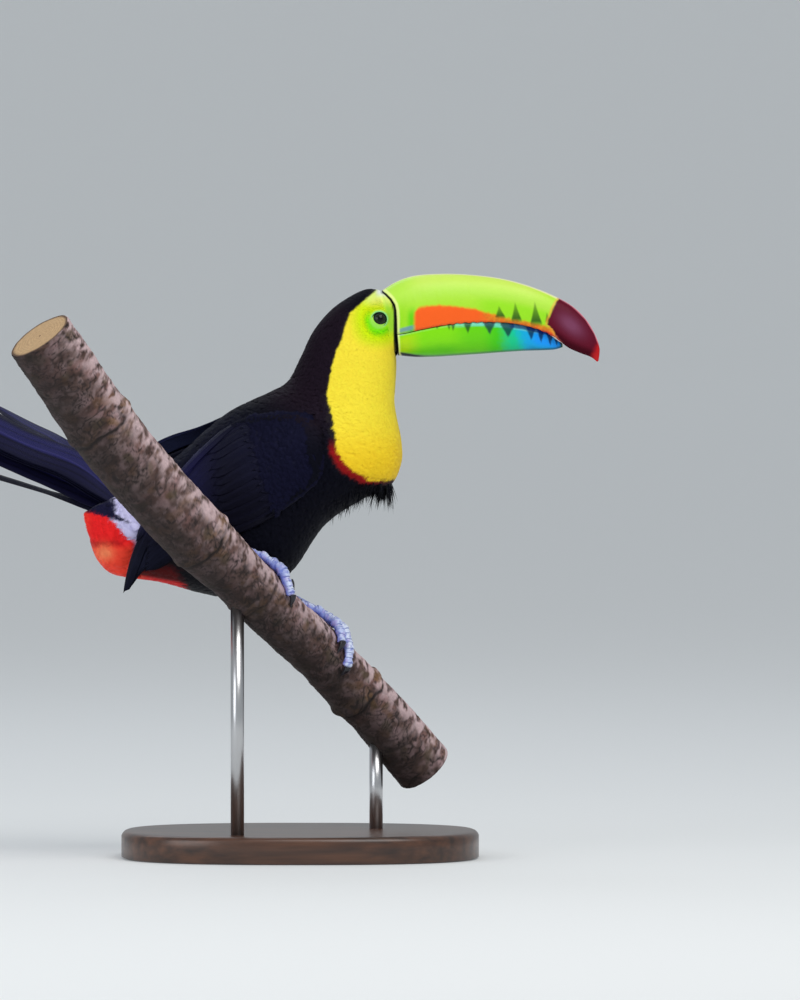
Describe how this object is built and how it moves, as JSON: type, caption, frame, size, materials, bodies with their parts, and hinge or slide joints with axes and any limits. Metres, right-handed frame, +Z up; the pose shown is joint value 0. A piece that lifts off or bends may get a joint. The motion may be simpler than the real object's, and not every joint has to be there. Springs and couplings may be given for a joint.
{
  "type": "toucan",
  "caption": "Keel-billed toucan at life size, still, perched on a short slanting length of branch over an oval display stand.",
  "frame": {"origin": "centre of the display base's underside, on the floor", "axes": "+Z up, +X the way the bird faces and the row's longest extent, +Y towards the bird's left side"},
  "size_m": [0.4538, 0.2416, 0.3912],
  "materials": {
    "face_feathers": "soft",
    "black_feathers": "satin",
    "red_feathers": "soft",
    "bill_horn": "satin",
    "eye": "gloss",
    "foot_skin": "matte",
    "claw_horn": "satin",
    "bark": "rough",
    "stand_wood": "satin",
    "stand_steel": "brushed"
  },
  "bodies": {
    "root": {"head": "face_feathers", "neck": "face_feathers", "trunk": "black_feathers", "tail_coverts": "red_feathers", "wing_left": "black_feathers", "wing_right": "black_feathers", "bill_upper": "bill_horn", "bill_lower": "bill_horn", "eye_left": "eye", "eye_right": "eye", "leg_left": "foot_skin", "leg_right": "foot_skin", "perch": "bark", "stand_base": "stand_wood", "stand_rod_1": "stand_steel", "stand_rod_2": "stand_steel", "tail_feather_left_1": "black_feathers", "tail_feather_left_2": "black_feathers", "tail_feather_left_3": "black_feathers", "tail_feather_left_4": "black_feathers", "tail_feather_left_5": "black_feathers", "tail_feather_right_1": "black_feathers", "tail_feather_right_2": "black_feathers", "tail_feather_right_3": "black_feathers", "tail_feather_right_4": "black_feathers", "tail_feather_right_5": "black_feathers", "claw_left_1": "claw_horn", "claw_left_2": "claw_horn", "claw_left_3": "claw_horn", "claw_left_4": "claw_horn", "claw_right_1": "claw_horn", "claw_right_2": "claw_horn", "claw_right_3": "claw_horn", "claw_right_4": "claw_horn"}
  },
  "joints": []
}
